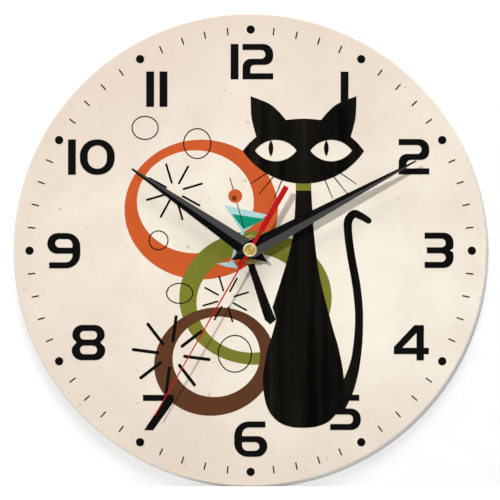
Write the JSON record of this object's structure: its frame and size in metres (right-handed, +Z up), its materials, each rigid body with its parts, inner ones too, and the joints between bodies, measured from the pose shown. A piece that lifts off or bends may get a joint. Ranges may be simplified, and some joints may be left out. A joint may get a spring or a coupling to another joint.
{
  "type": "round wall clock",
  "caption": "Frameless round wall clock: a thin printed board, three centre hands and a battery quartz movement with a hanging lug.",
  "frame": {"origin": "on the axis of the hands, in the movement's flat back, which rests on the wall", "axes": "+Z up, +Y into the wall, so the dial faces -Y; +X to the viewer's right"},
  "size_m": [0.25, 0.0325, 0.25],
  "materials": {
    "printed_board": "matte",
    "rubber": "matte",
    "brass": "satin",
    "black_enamel": "satin",
    "red_enamel": "satin",
    "black_plastic": "matte",
    "white_plastic": "satin",
    "natural_plastic": "satin",
    "red_plastic": "satin",
    "steel": "satin",
    "magnet": "satin",
    "plated_steel": "polished",
    "electrical_steel": "satin",
    "copper_wire": "satin",
    "circuit_laminate": "satin",
    "epoxy": "satin",
    "cell_label": "gloss"
  },
  "bodies": {
    "movement": {"dial_board": "printed_board", "rubber_gasket": "rubber", "brass_washer": "brass", "hex_nut": "brass", "threaded_bush": "brass", "front_case": "black_plastic", "back_cover": "black_plastic", "train_bridge": "natural_plastic", "circuit_board": "circuit_laminate", "chip_blob": "epoxy", "quartz_crystal": "plated_steel", "coil_bobbin": "white_plastic", "coil_winding": "copper_wire", "coil_core": "electrical_steel", "stator": "electrical_steel", "positive_contact": "plated_steel", "negative_contact": "plated_steel"},
    "minute": {"minute_pipe": "brass", "centre_wheel": "white_plastic", "minute_collet": "black_enamel", "minute_hand": "black_enamel"},
    "hour": {"hour_wheel": "white_plastic", "hour_collet": "black_enamel", "hour_hand": "black_enamel"},
    "second": {"second_arbor": "steel", "second_wheel": "white_plastic", "second_socket": "brass", "second_hand": "red_enamel", "second_cap": "brass"},
    "third": {"third_wheel": "natural_plastic"},
    "intermediate": {"intermediate_wheel": "natural_plastic"},
    "rotor": {"rotor_arbor": "steel", "rotor_pinion": "white_plastic", "rotor_magnet": "magnet"},
    "motion": {"motion_wheel": "natural_plastic"},
    "knob": {"setting_knob": "red_plastic"},
    "cell": {"cell_can": "plated_steel", "cell_foot": "plated_steel", "cell_seal": "natural_plastic", "cell_sleeve": "cell_label"}
  },
  "joints": [
    {"name": "minute_turn", "type": "hinge", "parent": "movement", "child": "minute", "pos_m": [0, 0, 0], "axis": [0, 1, 0], "continuous": true},
    {"name": "hour_turn", "type": "hinge", "parent": "movement", "child": "hour", "pos_m": [0, 0, 0], "axis": [0, 1, 0], "continuous": true},
    {"name": "second_turn", "type": "hinge", "parent": "movement", "child": "second", "pos_m": [0, 0, 0], "axis": [0, 1, 0], "continuous": true},
    {"name": "third_turn", "type": "hinge", "parent": "movement", "child": "third", "pos_m": [-0.00918, 0, 0], "axis": [0, 1, 0], "continuous": true},
    {"name": "intermediate_turn", "type": "hinge", "parent": "movement", "child": "intermediate", "pos_m": [0.00473, 0, 0.00818], "axis": [0, 1, 0], "continuous": true},
    {"name": "rotor_turn", "type": "hinge", "parent": "movement", "child": "rotor", "pos_m": [-0.00037, 0, 0.01328], "axis": [0, 1, 0], "continuous": true},
    {"name": "motion_turn", "type": "hinge", "parent": "movement", "child": "motion", "pos_m": [0.00615, 0, -0.00374], "axis": [0, 1, 0], "continuous": true},
    {"name": "knob_turn", "type": "hinge", "parent": "movement", "child": "knob", "pos_m": [0.013, 0, 0], "axis": [0, 1, 0], "continuous": true},
    {"name": "cell_pull", "type": "slide", "parent": "movement", "child": "cell", "axis": [0, 1, 0], "range_m": [0, 0.02]}
  ],
  "couplings": [
    {"joint": "hour_turn", "follows": "minute_turn", "ratio": 0.083333},
    {"joint": "motion_turn", "follows": "minute_turn", "ratio": -0.33333},
    {"joint": "knob_turn", "follows": "minute_turn", "ratio": 0.75},
    {"joint": "third_turn", "follows": "minute_turn", "ratio": -8},
    {"joint": "second_turn", "follows": "minute_turn", "ratio": 60},
    {"joint": "intermediate_turn", "follows": "minute_turn", "ratio": -360},
    {"joint": "rotor_turn", "follows": "minute_turn", "ratio": 1800}
  ]
}
